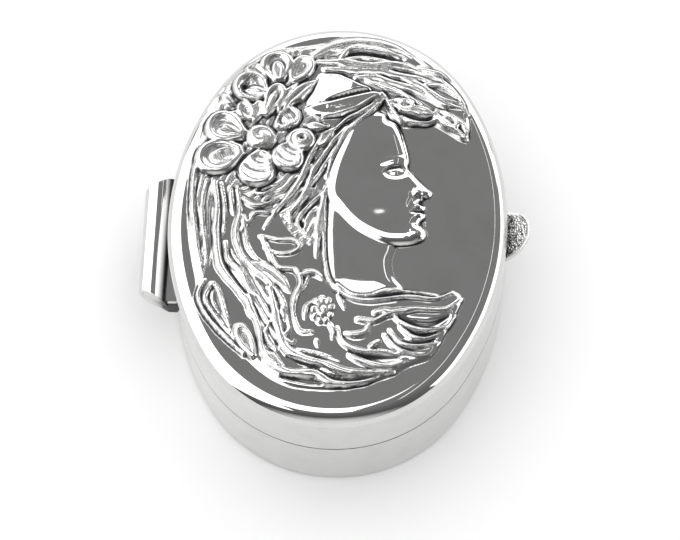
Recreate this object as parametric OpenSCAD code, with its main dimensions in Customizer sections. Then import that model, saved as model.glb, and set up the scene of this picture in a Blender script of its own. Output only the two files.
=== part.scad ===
// Oval silver pill box with a struck lid, a covered side hinge and a thumbpiece.
// Millimetres, +Z up. The origin is the centre of the base's underside.
// +X points from the hinge to the thumbpiece, and +Y runs along the oval's length.

/* [Box] */
// Width of the oval, from the hinge side to the thumbpiece side
box_w = 28; // [26:0.5:34]
// Length of the oval
box_l = 36; // [32:0.5:44]
// Radius of the two end arcs of the four-arc oval
end_r = 12.4; // [9.5:0.1:12.6]
// Height of the base, from the table to the seam
base_h = 6.8; // [5:0.1:10]
// Thickness of the base's side wall
wall_t = 0.6; // [0.5:0.05:1]
// Thickness of the floor plate
floor_t = 0.5; // [0.4:0.05:1]
// Radius of the rounded edge round the foot
foot_r = 0.5; // [0.2:0.05:0.5]

/* [Bezel] */
// Thickness of the inner bezel that the lid closes over
bezel_t = 0.4; // [0.3:0.05:0.8]
// How far the bezel stands above the seam
bezel_rise = 1.3; // [0.8:0.1:2]
// How far the bezel reaches down inside the base
bezel_drop = 2.4; // [1:0.1:3.5]
// Gap between the bezel and the inside of the lid's wall
lid_fit = 0.1; // [0.06:0.01:0.15]

/* [Lid] */
// Height of the lid's side wall
lid_wall_h = 4.6; // [3.6:0.1:6]
// Open line between the base and the closed lid
seam_gap = 0.08; // [0.04:0.01:0.2]
// Radius of the lid's rounded shoulder
shoulder_r = 1.3; // [0.9:0.1:1.8]
// Thickness of the struck sheet
panel_t = 0.5; // [0.4:0.05:0.7]
// How far in from the edge the field keeps rising
field_in = 5; // [3:0.5:7]
// Rise of the field over that width
field_rise = 0.3; // [0.1:0.05:0.6]
// Height of the relief above the flat of the field
relief_h = 1.0; // [0.4:0.1:1.4]
// Radius of the sphere that crowns the relief
relief_crown_r = 95; // [80:5:160]

/* [Hinge] */
// Radius of the hinge barrel
barrel_r = 1.25; // [1.1:0.05:1.6]
// Gap between the barrel and the walls
barrel_gap = 0.05; // [0.05:0.05:0.3]
// Length of the barrel on the side that faces the box
barrel_l = 11.6; // [9.6:0.2:15]
// Angle at which the barrel's ends are cut back
end_slant = 27; // [10:1:35]
// Wall of the cover that wraps over the barrel
cover_t = 0.35; // [0.25:0.05:0.5]
// Length of the middle knuckle, which belongs to the base
knuckle_l = 6; // [4:0.2:6.4]
// Radius of the hinge pin
pin_r = 0.42; // [0.3:0.02:0.45]
// Length of the hinge pin
pin_l = 7.8; // [7:0.1:8]
// Radial clearance of the pin in the middle knuckle
pin_fit = 0.03; // [0.01:0.01:0.06]
// Running gap between the hinge's moving parts
hinge_gap = 0.07; // [0.05:0.01:0.12]
// Thickness of the saddle under the barrel
saddle_t = 0.3; // [0.25:0.05:0.6]
// How far the leaves and the saddle stay inside the barrel's ends
leaf_inset = 0.3; // [0:0.1:0.6]
// Thickness of the web between the saddle and the middle knuckle
web_t = 0.5; // [0.3:0.05:0.6]
// Direction of that web round the pin, from +X towards +Z
web_dir = 310; // [308:1:312]
// Height of the base's hinge leaf
base_leaf_h = 1.8; // [1.5:0.1:2.5]
// Height of the lid's hinge leaf
lid_leaf_h = 0.45; // [0.3:0.05:0.9]

/* [Thumbpiece] */
// Radius of the thumbpiece's outline
thumb_r = 2.1; // [1.8:0.1:2.6]
// How far the thumbpiece stands out from the lid's wall
thumb_out = 1.8; // [1.2:0.05:2.2]
// Thickness of the thumbpiece
thumb_t = 0.55; // [0.4:0.05:0.8]
// Height of its root above the seam
thumb_up = 3.2; // [1.8:0.1:3.4]
// Angle at which its lip turns up
thumb_tilt = 36; // [0:1:40]

/* [Hidden] */
$fn = 180;
// Facets of the oval's long arcs, which are finer than those of the small rounds
oval_fn = 360;

eps = 0.01;
half_w = box_w / 2;
half_l = box_l / 2;

// Four-arc oval: end arcs on the long axis, and side arcs that meet them tangentially
end_y = half_l - end_r;
side_r = (half_w * half_w + end_y * end_y - end_r * end_r) / (2 * (half_w - end_r));
side_x = side_r - half_w;

// A point outside the box on the line through both centres, a whole number of steps from the end's centre
join_steps = ceil(2 * end_r / (side_r - end_r));
join_far = [join_steps * side_x, (join_steps + 1) * end_y];

// The foot keeps a narrow flat under the wall, however thin the wall is
foot_flat = 0.1;
foot_round = min(foot_r, wall_t - foot_flat);

// Heights of the closed lid
lid_z = base_h + seam_gap;
lid_wall_top = lid_z + lid_wall_h;
lid_wall_t = wall_t - lid_fit;
shoulder_z = lid_wall_top + shoulder_r;
field_z = shoulder_z + field_rise;
box_h = field_z + relief_h;

// Hinge axis, and the angles at which the cover starts and ends round it
pivot_x = -(half_w + barrel_gap + barrel_r);
pivot_z = base_h + seam_gap / 2;
cover_from = -15;
cover_to = 185;
cover_bore_r = barrel_r - cover_t;
knuckle_r = cover_bore_r - hinge_gap;
saddle_r = barrel_r + hinge_gap;
saddle_from = 262;
barrel_half_in = barrel_l / 2;
barrel_half_out = barrel_half_in - 2 * barrel_r * tan(end_slant);

// Rings and plates that follow the oval

// The part of the plan that belongs to the right-hand side arc, and the part of the upper end arc.
// They share the line through the two arcs' centres, where the arcs join.
module side_wedge() {
    far_x = max(join_far.x, box_w);
    linear_extrude(4 * box_h, center = true)
        polygon([
            [0, -end_y], [join_far.x, -join_far.y], [far_x, -join_far.y],
            [far_x, join_far.y], join_far, [0, end_y]
        ]);
}

module end_wedge() {
    far_y = max(join_far.y, box_l);
    linear_extrude(4 * box_h, center = true)
        polygon([
            [0, end_y], join_far, [join_far.x, far_y],
            [-join_far.x, far_y], [-join_far.x, join_far.y]
        ]);
}

// Moves along X by a whole step and then by the fraction left, so that no digit of the fraction is lost
// and the arcs of the oval meet exactly at any size
module shift_x(by) {
    whole = floor(by);
    translate([whole, 0, 0])
        translate([by - whole, 0, 0]) children();
}

// Sweeps a profile round the oval. Its X is measured outwards from the oval's outer face.
module sweep_oval() {
    for (flip = [0, 1]) {
        mirror([flip, 0, 0])
            intersection() {
                shift_x(-side_x)
                    rotate_extrude($fn = oval_fn)
                        shift_x(side_r) children();
                side_wedge();
            }
        mirror([0, flip, 0])
            intersection() {
                translate([0, end_y, 0])
                    rotate_extrude($fn = oval_fn)
                        shift_x(end_r) children();
                end_wedge();
            }
    }
}

// A full plate of the oval's outline, set in from its outer face
module oval_plate(inset, z_from, z_to) {
    for (flip = [0, 1]) {
        mirror([flip, 0, 0])
            intersection() {
                translate([0, 0, z_from])
                    shift_x(-side_x)
                        cylinder(r = side_r - inset, h = z_to - z_from, $fn = oval_fn);
                side_wedge();
            }
        mirror([0, flip, 0])
            intersection() {
                translate([0, end_y, z_from])
                    cylinder(r = end_r - inset, h = z_to - z_from, $fn = oval_fn);
                end_wedge();
            }
    }
}

// What an outer corner of radius r loses when it is rounded, with the corner at the origin
// and the metal towards -X and the given Z direction
module corner_waste(r, up) {
    difference() {
        translate([-r, up > 0 ? 0 : -r]) square([r, r]);
        translate([-r, up * r]) circle(r);
    }
}

// Base

module base_wall() {
    color("gainsboro")
        sweep_oval()
            difference() {
                translate([-wall_t, 0]) square([wall_t, base_h]);
                corner_waste(foot_round, 1);
            }
}

module floor_plate() {
    color("silver") oval_plate(wall_t, 0, floor_t);
}

module inner_bezel() {
    lead_in = bezel_t / 2;
    color("silver")
        sweep_oval()
            translate([-wall_t, base_h])
                difference() {
                    translate([-bezel_t, -bezel_drop]) square([bezel_t, bezel_drop + bezel_rise]);
                    translate([0, bezel_rise]) corner_waste(lead_in, -1);
                }
}

// Lid

module lid_wall() {
    color("gainsboro")
        sweep_oval()
            translate([-lid_wall_t, lid_z]) square([lid_wall_t, lid_wall_h]);
}

// Half section of the struck sheet's edge: the rounded shoulder and the rising field
module panel_edge() {
    translate([0, lid_wall_top]) {
        intersection() {
            translate([-shoulder_r, 0]) square(shoulder_r);
            translate([-shoulder_r, 0])
                difference() {
                    circle(shoulder_r);
                    circle(shoulder_r - panel_t);
                }
        }
        polygon([
            [-shoulder_r, shoulder_r],
            [-shoulder_r, shoulder_r - panel_t],
            [-field_in, shoulder_r + field_rise - panel_t],
            [-field_in, shoulder_r + field_rise]
        ]);
    }
}

// The area that the raised figure covers: face, crown of hair and falling hair
module relief_outline(inset) {
    translate([-3, 0.5]) circle(8.6 - inset);
    translate([0.5, 7.8]) circle(7.2 - inset);
    translate([0, -6.5]) circle(7.6 - inset);
    translate([3.4, 2.6]) circle(4.8 - inset);
}

// The crowned mass of the relief, lowered by drop to make its hollow underside
module relief_mass(inset, drop) {
    intersection() {
        translate([0, 0, shoulder_z - panel_t - drop])
            linear_extrude(relief_h + field_rise + panel_t) relief_outline(inset);
        translate([0, 0, field_z + relief_h - drop - relief_crown_r])
            sphere(relief_crown_r);
    }
}

module lid_panel() {
    color("darkgray")
        difference() {
            union() {
                sweep_oval() panel_edge();
                oval_plate(field_in, field_z - panel_t, field_z);
                relief_mass(0, 0);
            }
            relief_mass(panel_t, panel_t);
        }
}

// Rounded lip soldered to the lid's wall
module thumbpiece() {
    root_z = lid_z + thumb_up;
    color("silver")
        difference() {
            intersection() {
                translate([half_w + thumb_out - thumb_r, 0, lid_z])
                    cylinder(r = thumb_r, h = lid_wall_h + shoulder_r);
                translate([half_w, 0, root_z])
                    rotate([0, -thumb_tilt, 0])
                        translate([-2 * thumb_r, -2 * thumb_r, -thumb_t / 2])
                            cube([4 * thumb_r, 4 * thumb_r, thumb_t]);
            }
            oval_plate(0, lid_z - eps, shoulder_z);
        }
}

// Hinge

// Turns an XY drawing into the XZ plane at the pivot, as thick as the hinge needs along Y
module along_hinge(length) {
    translate([pivot_x, 0, pivot_z])
        rotate([90, 0, 0])
            linear_extrude(length, center = true) children();
}

// Part of a tube round the pin, between two angles measured from +X towards +Z
module pipe(r_in, r_out, from, to, length) {
    translate([pivot_x, 0, pivot_z])
        rotate([90, 0, 0])
            rotate([0, 0, from])
                rotate_extrude(angle = to - from)
                    translate([r_in, -length / 2]) square([r_out - r_in, length]);
}

// A round bar or bore on the hinge axis, between two places along Y
module on_axis(r, y_from, y_to) {
    translate([pivot_x, y_from, pivot_z])
        rotate([-90, 0, 0])
            cylinder(r = r, h = y_to - y_from);
}

// Block whose ends are slanted as the barrel's are, less an inset, and which runs on into the box
module hinge_envelope(inset = 0) {
    reach = barrel_r + barrel_gap + half_w / 2;
    half_in = barrel_half_in - inset;
    half_out = barrel_half_out - inset;
    translate([0, 0, pivot_z - 2 * barrel_r])
        linear_extrude(4 * barrel_r)
            polygon([
                [pivot_x - barrel_r, -half_out], [pivot_x + barrel_r, -half_in],
                [pivot_x + reach, -half_in], [pivot_x + reach, half_in],
                [pivot_x + barrel_r, half_in], [pivot_x - barrel_r, half_out]
            ]);
}

module base_hinge_leaf() {
    color("silver")
        difference() {
            intersection() {
                union() {
                    along_hinge(barrel_l) base_leaf_section();
                    base_web();
                }
                hinge_envelope(leaf_inset);
            }
            oval_plate(0, 0, lid_z);
        }
}

// Section of the base's leaf with the saddle that cups the barrel from below
module base_leaf_section() {
    far = 2 * barrel_r;
    difference() {
        union() {
            translate([0, -base_leaf_h])
                square([barrel_r + barrel_gap + half_w / 2, base_leaf_h + base_h - pivot_z]);
            intersection() {
                circle(saddle_r + saddle_t);
                polygon([[0, 0], [far * cos(saddle_from), far * sin(saddle_from)], [far, -far], [far, 0]]);
            }
        }
        circle(saddle_r);
    }
}

// Web that passes between the cover's edges and carries the middle knuckle
module base_web() {
    difference() {
        along_hinge(knuckle_l)
            rotate(web_dir)
                translate([0, -web_t / 2]) square([saddle_r + saddle_t / 2, web_t]);
        on_axis(knuckle_r, -knuckle_l, knuckle_l);
    }
}

module base_knuckle() {
    color("silver")
        difference() {
            on_axis(knuckle_r, -knuckle_l / 2, knuckle_l / 2);
            on_axis(pin_r + pin_fit, -knuckle_l, knuckle_l);
        }
}

module hinge_cover() {
    color("gainsboro")
        intersection() {
            pipe(cover_bore_r, barrel_r, cover_from, cover_to, barrel_l);
            hinge_envelope();
        }
}

// Solid end of the barrel, drilled blind for the pin. It fills the cover and closes the barrel below it.
module lid_knuckle(end) {
    y_in = knuckle_l / 2 + hinge_gap;
    color("silver")
        difference() {
            intersection() {
                if (end > 0) {
                    on_axis(barrel_r, y_in, barrel_l);
                } else {
                    on_axis(barrel_r, -barrel_l, -y_in);
                }
                hinge_envelope();
            }
            pipe(cover_bore_r, barrel_r + eps, cover_from, cover_to, 3 * barrel_l);
            on_axis(pin_r, -pin_l / 2, pin_l / 2);
        }
}

module hinge_pin() {
    color("dimgray") on_axis(pin_r, -pin_l / 2, pin_l / 2);
}

module lid_hinge_leaf() {
    color("silver")
        difference() {
            intersection() {
                along_hinge(barrel_l)
                    difference() {
                        translate([0, lid_z - pivot_z])
                            square([barrel_r + barrel_gap + half_w / 2, lid_leaf_h]);
                        circle(barrel_r);
                    }
                hinge_envelope(leaf_inset);
            }
            oval_plate(0, base_h, shoulder_z);
        }
}

base_wall();
floor_plate();
inner_bezel();
base_hinge_leaf();
base_knuckle();
lid_wall();
lid_panel();
lid_hinge_leaf();
hinge_cover();
lid_knuckle(-1);  // lid_knuckle_front
lid_knuckle(1);  // lid_knuckle_back
hinge_pin();
thumbpiece();
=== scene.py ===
# %% [markdown]
# # An oval silver pill box
#
# The box is 36 mm long. Its base and lid are strips of sheet silver bent to an oval, and its lid
# carries a struck relief of a head in profile with flowers in its hair. The moving parts, the walls
# and the hinge come from the engineer's model, which this script loads first and never moves.
# Everything that is only looks is made here: the struck sheet, the grained thumbpiece, the
# softened edges, the finishes, and the studio round the box.

# %% Load the fixed frame
import math

import bmesh
import bpy
import numpy as np
from mathutils import Matrix, Vector, noise


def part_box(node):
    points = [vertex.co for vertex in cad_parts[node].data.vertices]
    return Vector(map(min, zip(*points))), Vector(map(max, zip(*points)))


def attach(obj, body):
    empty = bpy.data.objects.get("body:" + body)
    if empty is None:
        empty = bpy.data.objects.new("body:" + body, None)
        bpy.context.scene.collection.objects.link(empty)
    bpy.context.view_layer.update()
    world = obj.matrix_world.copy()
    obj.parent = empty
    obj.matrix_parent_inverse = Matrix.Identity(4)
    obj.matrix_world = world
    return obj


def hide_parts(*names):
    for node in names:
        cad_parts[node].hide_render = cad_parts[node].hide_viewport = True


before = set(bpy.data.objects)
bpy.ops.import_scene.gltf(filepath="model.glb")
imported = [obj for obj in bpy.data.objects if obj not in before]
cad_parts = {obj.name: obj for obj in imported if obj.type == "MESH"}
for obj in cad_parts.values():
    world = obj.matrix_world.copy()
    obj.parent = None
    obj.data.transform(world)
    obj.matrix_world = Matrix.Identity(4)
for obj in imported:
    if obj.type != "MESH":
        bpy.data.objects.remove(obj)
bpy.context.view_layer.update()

MM = 0.001

# %% [markdown]
# ## The camera
#
# A box this small is best seen from far off through a long lens, so that its walls stay nearly
# parallel. The camera could be placed by coordinates, but angles are easier to change: how high
# and how far round it stands, how far off, and how much it leans.

# %% Camera
CAMERA_HEIGHT_ANGLE = math.radians(66)
CAMERA_SIDE_ANGLE = math.radians(5)
CAMERA_LEAN = math.radians(2.9)
CAMERA_DISTANCE = 255 * MM
LENS_MM = 157.2
AIM_POINT = Vector((0, 0, 2.4 * MM))

toward_camera = Vector((
    math.sin(CAMERA_SIDE_ANGLE) * math.cos(CAMERA_HEIGHT_ANGLE),
    -math.cos(CAMERA_SIDE_ANGLE) * math.cos(CAMERA_HEIGHT_ANGLE),
    math.sin(CAMERA_HEIGHT_ANGLE),
))
camera = bpy.data.objects.new("camera", bpy.data.cameras.new("camera"))
camera.data.lens = LENS_MM
camera.data.sensor_width = 36
camera.data.clip_start = 0.01
camera.data.clip_end = 20
camera.location = toward_camera * CAMERA_DISTANCE
look = (camera.location - AIM_POINT).normalized()
camera.rotation_euler = (
    look.to_track_quat("Z", "Y").to_matrix() @ Matrix.Rotation(-CAMERA_LEAN, 3, "Z")
).to_euler()
bpy.context.scene.collection.objects.link(camera)
bpy.context.scene.camera = camera
print("camera at", [round(v / MM) for v in camera.location], "mm")

# %% [markdown]
# ## The table and the studio
#
# Polished silver has hardly any colour of its own: what one sees in it is the room. So the
# studio is part of the finish. It could be one even dome of light, but then every surface that
# looks up would be equally white and the relief would vanish. Instead, large softboxes hang over,
# beside and behind the box with gray room showing between them. A flat sheet then mirrors gray,
# and each ridge catches a softbox on one flank and the dark room on the other.

# %% Small makers that every piece uses
def new_object(name, mesh):
    made = bpy.data.objects.new(name, mesh)
    bpy.context.scene.collection.objects.link(made)
    return made


def mesh_from(bm, name):
    """Turns a bmesh into a smooth mesh, frees it, and says how many faces it has."""
    mesh = bpy.data.meshes.new(name)
    bm.to_mesh(mesh)
    bm.free()
    mesh.polygons.foreach_set("use_smooth", [True] * len(mesh.polygons))
    print(f"{name}: {len(mesh.vertices)} points, {len(mesh.polygons)} faces")
    return mesh


# %% Floor
FLOOR_HALF = 2.0
FLOOR_WHITE = 0.88


def make_floor():
    bm = bmesh.new()
    bmesh.ops.create_grid(bm, x_segments=1, y_segments=1, size=FLOOR_HALF)
    floor = new_object("floor", mesh_from(bm, "floor"))
    material = bpy.data.materials.new("white sweep")
    material.use_nodes = True
    shader = material.node_tree.nodes["Principled BSDF"]
    shader.inputs["Base Color"].default_value = (FLOOR_WHITE, FLOOR_WHITE, FLOOR_WHITE, 1)
    shader.inputs["Roughness"].default_value = 0.9
    shader.inputs["Specular IOR Level"].default_value = 0.1
    floor.data.materials.append(material)
    return floor


make_floor()

# %% Softboxes
def softbox(name, side, back, distance, width, length, brightness, lights_table=False):
    """A softbox that faces the box, side degrees right and back degrees rear of overhead, with its
    distance, width and length in metres. The one that lights the table isn't mirrored in the
    silver, and the others are only mirrored."""
    direction = Vector((math.tan(math.radians(side)), math.tan(math.radians(back)), 1)).normalized()
    lamp = bpy.data.lights.new(name, "AREA")
    lamp.shape = "RECTANGLE"
    lamp.size = width
    lamp.size_y = length
    lamp.energy = 4 * width * length * brightness
    hung = new_object(name, lamp)
    hung.location = direction * distance
    across = Vector((0, 1, 0)).cross(direction).normalized()
    along = direction.cross(across)
    hung.rotation_euler = Matrix((across, along, direction)).transposed().to_euler()
    hung.visible_camera = False
    hung.visible_glossy = not lights_table
    hung.visible_diffuse = lights_table
    return hung


softbox("overhead softbox", -19, -1, 0.60, 0.52, 0.33, 1.75)
softbox("left softbox", -56, 4, 0.60, 0.95, 1.00, 1.75)
softbox("rear softbox", 2, 69, 0.62, 1.30, 0.44, 1.75)
softbox("right softbox", 76, 20, 0.60, 0.26, 0.90, 1.5)
softbox("right strip", 20, 10, 0.60, 0.022, 0.60, 1.3)
softbox("table light", 0, 0, 1.20, 2.4, 2.4, 1.3, lights_table=True)

# %% The gray room behind the softboxes
ROOM_TONES = ((0.0, 0.30), (0.42, 0.265), (0.62, 0.24), (0.88, 0.11), (1.0, 0.04))


def make_room():
    """The room is mid gray, and darker toward the front, where no lamp hangs."""
    world = bpy.data.worlds.new("studio")
    bpy.context.scene.world = world
    world.use_nodes = True
    nodes, links = world.node_tree.nodes, world.node_tree.links
    coordinates = nodes.new("ShaderNodeTexCoord")
    parts = nodes.new("ShaderNodeSeparateXYZ")
    share = nodes.new("ShaderNodeMapRange")
    share.inputs["From Min"].default_value = 1
    share.inputs["From Max"].default_value = -1
    tones = nodes.new("ShaderNodeValToRGB")
    tones.color_ramp.elements[0].position, tones.color_ramp.elements[1].position = 0, 1
    for k, (place, tone) in enumerate(ROOM_TONES):
        element = tones.color_ramp.elements[0] if k == 0 else tones.color_ramp.elements.new(place)
        element.position = place
        element.color = (tone, tone, tone, 1)
    tones.color_ramp.elements.remove(tones.color_ramp.elements[-1])
    links.new(coordinates.outputs["Generated"], parts.inputs[0])
    links.new(parts.outputs["Y"], share.inputs["Value"])
    links.new(share.outputs["Result"], tones.inputs["Fac"])
    links.new(tones.outputs["Color"], nodes["Background"].inputs["Color"])


make_room()
print("room tones, from the rear to the front:", [tone for _, tone in ROOM_TONES])

# %% [markdown]
# White silver on a white table needs clean whites. The film-like view that new files start with
# bends them to gray, so the view is set to the plain one.

# %% A plain view of the tones
bpy.context.scene.view_settings.view_transform = "Standard"
print("view:", bpy.context.scene.view_settings.view_transform)

# %% [markdown]
# ## Silver, in six finishes
#
# All the pieces are the same silver, and what tells them apart is how they were finished. A mop
# leaves the walls almost a mirror, with a haze that comes and goes over a few millimetres and
# hairlines too fine to feel. A file leaves lines, a punch leaves grains, and pickling leaves the
# inside satin. A finish may also read the recess map and paint the hollows dark: painted shade,
# with the gray that silver goes to where no mop reaches.
# One maker takes those differences as its arguments, and every finish is a call to it.

# %% Finish maker
SILVER_TONE = (0.67, 0.67, 0.665)
HAZY_TONE = (0.625, 0.62, 0.608)
# The near black that is painted into hollows and grooves: painted shade, and patina in the hollows.
PATINA_AND_SHADE_TONE = (0.035, 0.035, 0.037)


def map_range(tree, value, from_low, from_high, to_low, to_high):
    node = tree.nodes.new("ShaderNodeMapRange")
    node.interpolation_type = "SMOOTHSTEP"
    limits = {"From Min": from_low, "From Max": from_high, "To Min": to_low, "To Max": to_high}
    for socket, number in limits.items():
        node.inputs[socket].default_value = number
    tree.links.new(value, node.inputs["Value"])
    return node.outputs["Result"]


def noise_pattern(tree, per_metre, detail=3.0, stretch=(1, 1, 1), turn=0.0):
    """Noise on the piece's own coordinates. A stretch draws it out into lines."""
    place = tree.nodes.new("ShaderNodeTexCoord")
    mapping = tree.nodes.new("ShaderNodeMapping")
    mapping.inputs["Scale"].default_value = stretch
    mapping.inputs["Rotation"].default_value = (0, 0, turn)
    pattern = tree.nodes.new("ShaderNodeTexNoise")
    pattern.inputs["Scale"].default_value = per_metre
    pattern.inputs["Detail"].default_value = detail
    tree.links.new(place.outputs["Object"], mapping.inputs["Vector"])
    tree.links.new(mapping.outputs["Vector"], pattern.inputs["Vector"])
    return pattern.outputs["Fac"]


def attribute(tree, name):
    node = tree.nodes.new("ShaderNodeAttribute")
    node.attribute_name = name
    return node.outputs["Fac"]


def calculated(tree, operation, *values):
    """One step of arithmetic on outputs of other nodes or plain numbers."""
    node = tree.nodes.new("ShaderNodeMath")
    node.operation = operation
    for socket, value in zip(node.inputs, values):
        if isinstance(value, (int, float)):
            socket.default_value = value
        else:
            tree.links.new(value, socket)
    return node.outputs[0]


def bumped(tree, height, depth, over=None):
    """Surface detail too fine for the mesh: height 0 to 1 stands for this depth in metres."""
    node = tree.nodes.new("ShaderNodeBump")
    node.inputs["Strength"].default_value = 1
    node.inputs["Distance"].default_value = depth
    tree.links.new(height, node.inputs["Height"])
    if over is not None:
        tree.links.new(over, node.inputs["Normal"])
    return node.outputs["Normal"]


def mixed_colour(tree, share, low, high):
    node = tree.nodes.new("ShaderNodeMix")
    node.data_type = "RGBA"
    tree.links.new(share, node.inputs["Factor"])
    for socket, tone in ((node.inputs[6], low), (node.inputs[7], high)):
        if isinstance(tone, tuple):
            socket.default_value = (*tone, 1)
        else:
            tree.links.new(tone, socket)
    return node.outputs[2]


HAZE_PER_METRE = 450
PATINA_ROUGHNESS = 0.3


def silver(name, smooth, hazy, line_depth, lines, line_turn, lines_per_metre, dark_hollows=False):
    """A silver finish: its roughness where it is smoothest and haziest, and its lines."""
    material = bpy.data.materials.new(name)
    material.use_nodes = True
    tree = material.node_tree
    shader = tree.nodes["Principled BSDF"]
    shader.inputs["Metallic"].default_value = 1
    haze = noise_pattern(tree, HAZE_PER_METRE)
    colour = mixed_colour(tree, map_range(tree, haze, 0.4, 0.8, 0, 1), SILVER_TONE, HAZY_TONE)
    roughness = map_range(tree, haze, 0.35, 0.75, smooth, hazy)
    # Hollows from the recess map are painted dark: painted shade there, with the patina that polishing
    # misses.
    if dark_hollows:
        dark = map_range(tree, attribute(tree, "recess"), 0.10, 0.85, 0, 1)
        colour = mixed_colour(tree, dark, colour, PATINA_AND_SHADE_TONE)
        roughness = calculated(tree, "MULTIPLY_ADD", dark, PATINA_ROUGHNESS, roughness)
    tree.links.new(colour, shader.inputs["Base Color"])
    tree.links.new(roughness, shader.inputs["Roughness"])
    fine_lines = noise_pattern(tree, lines_per_metre, 4, lines, line_turn)
    tree.links.new(bumped(tree, fine_lines, line_depth), shader.inputs["Normal"])
    return material


# %% The finishes
MICRON = 1e-6
polished_silver = silver(
    "polished silver", 0.035, 0.085, 0.10 * MICRON, (1, 1, 14), 0.0, 1500, dark_hollows=True
)
struck_silver = silver("struck silver", 0.035, 0.08, 0.15 * MICRON, (1, 6, 1), 0.5, 2500, dark_hollows=True)
satin_silver = silver("satin silver", 0.22, 0.34, 1.2 * MICRON, (1, 12, 1), 0.2, 2500)
filed_silver = silver("filed silver", 0.12, 0.25, 3.0 * MICRON, (1, 10, 1), 0.9, 3500, dark_hollows=True)
grained_silver = silver("grained silver", 0.16, 0.34, 2.0 * MICRON, (1, 1, 1), 0.0, 5000, dark_hollows=True)
pin_metal = silver("drawn pin wire", 0.14, 0.24, 0.8 * MICRON, (1, 1, 8), 0.0, 3000)
print("finishes:", [m.name for m in bpy.data.materials])

# %% [markdown]
# The struck lid gets two things more. The engraver's grooves are finer than its mesh, so the mesh
# only carries their count, which runs through whole numbers from groove to groove, and the finish
# cuts a thin line wherever the count is whole: a bump, with painted shade making it dark. They
# press harder here and there, as a hand does.
# And metal that was worked over keeps a softer polish than the plain field.

# %% Engraved lines
GROOVE_DEPTH = 18 * MICRON
GROOVE_DARKNESS = 0.85
WORKED_ROUGHNESS = 0.12
HAND_PER_METRE = 1300


def engrave(material):
    """Adds the engraver's fine grooves, painted dark as shade, and worked metal's softer polish, to a
    finish.
    """
    tree = material.node_tree
    shader = tree.nodes["Principled BSDF"]
    worked_share = attribute(tree, "worked")
    to_groove = calculated(tree, "PINGPONG", attribute(tree, "grooves"), 0.5)
    land = map_range(tree, to_groove, 0.0, 0.2, 0, 1)
    pressure = map_range(tree, noise_pattern(tree, HAND_PER_METRE, 2), 0.36, 0.6, 0, 1)
    cut = calculated(tree, "MULTIPLY", calculated(tree, "SUBTRACT", 1, land), pressure)
    old_colour = shader.inputs["Base Color"].links[0].from_socket
    # Each groove is painted dark: painted shade in a line too fine for the mesh.
    darkness = calculated(tree, "MULTIPLY", cut, GROOVE_DARKNESS)
    colour = mixed_colour(tree, darkness, old_colour, PATINA_AND_SHADE_TONE)
    tree.links.new(colour, shader.inputs["Base Color"])
    old_roughness = shader.inputs["Roughness"].links[0].from_socket
    roughness = calculated(tree, "MULTIPLY_ADD", worked_share, WORKED_ROUGHNESS, old_roughness)
    tree.links.new(roughness, shader.inputs["Roughness"])
    height = calculated(tree, "SUBTRACT", 1, cut)
    old_normal = shader.inputs["Normal"].links[0].from_socket
    tree.links.new(bumped(tree, height, GROOVE_DEPTH, old_normal), shader.inputs["Normal"])


engrave(struck_silver)
print("grooves", round(GROOVE_DEPTH / MICRON), "microns deep")

# %% [markdown]
# Every part of the engineer's model gets its finish, also the ones that a finer copy will replace,
# so that none is ever bare.

# %% A finish for each part
NODE_FINISH = {
    "base_wall": polished_silver, "lid_wall": polished_silver, "hinge_cover": polished_silver,
    "inner_bezel": satin_silver, "floor_plate": satin_silver, "base_hinge_leaf": polished_silver,
    "lid_hinge_leaf": polished_silver, "base_knuckle": filed_silver, "lid_knuckle_front": filed_silver,
    "lid_knuckle_back": filed_silver, "hinge_pin": pin_metal, "thumbpiece": grained_silver,
    "lid_panel": struck_silver,
}
for name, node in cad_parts.items():
    node.data.materials.clear()
    node.data.materials.append(NODE_FINISH[name])
print("finished", len(NODE_FINISH), "engineer's parts")

# %% [markdown]
# ## The struck lid: a height map made of strokes
#
# The lid of such a box is one sheet of silver, pressed in a steel die that an engraver cut by
# hand. The die is a landscape of low hills: a mass for the head, and on it ridges, petals and
# furrows, each made with one tool stroke. It could be sculpted as hundreds of small meshes, but
# they would never blend as one sheet does. So the relief is a height map in millimetres over the
# plan of the lid, and each stroke raises or cuts it along a curve through a few points. Then one
# grid of points is bent to the lid's shape and lifted by the map.
#
# Two more maps go with it. One counts the fine grooves that the engraver draws along each stroke,
# a fifth of a millimetre apart, and the other marks the metal that was worked and so isn't a mirror.

# %% The map's grid
CELL = 0.05
MAP_X = np.arange(-14.2, 14.2 + CELL / 2, CELL)
MAP_Y = np.arange(-18.2, 18.2 + CELL / 2, CELL)
PLAN_X, PLAN_Y = np.meshgrid(MAP_X, MAP_Y)
relief = np.zeros_like(PLAN_X)
grooves = np.full_like(PLAN_X, 0.5)
worked = np.zeros_like(PLAN_X)
GROUND = 0.24
GROOVE_PITCH = 0.21
print("height map:", relief.shape, "cells of", CELL, "mm")


def window(points, reach):
    """The part of the map that lies within reach of these points."""
    low, high = np.min(points, axis=0) - reach, np.max(points, axis=0) + reach
    columns = slice(*np.searchsorted(MAP_X, [low[0], high[0]]))
    rows = slice(*np.searchsorted(MAP_Y, [low[1], high[1]]))
    return rows, columns


def flowing(points, closed=False, steps=8):
    """A smooth curve through the points, as a flexible ruler would give."""
    p = np.array(points, float)
    if closed:
        p = np.vstack([p[-1], p, p[:2]])
    else:
        p = np.vstack([2 * p[0] - p[1], p, 2 * p[-1] - p[-2]])
    t = np.linspace(0, 1, steps, endpoint=False)[:, None]
    spans = [
        0.5 * (2 * b + (c - a) * t + (2 * a - 5 * b + 4 * c - d) * t**2 + (3 * b - a - 3 * c + d) * t**3)
        for a, b, c, d in zip(p[:-3], p[1:-2], p[2:-1], p[3:])
    ]
    return np.vstack([*spans, p[-2][None]])


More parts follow.
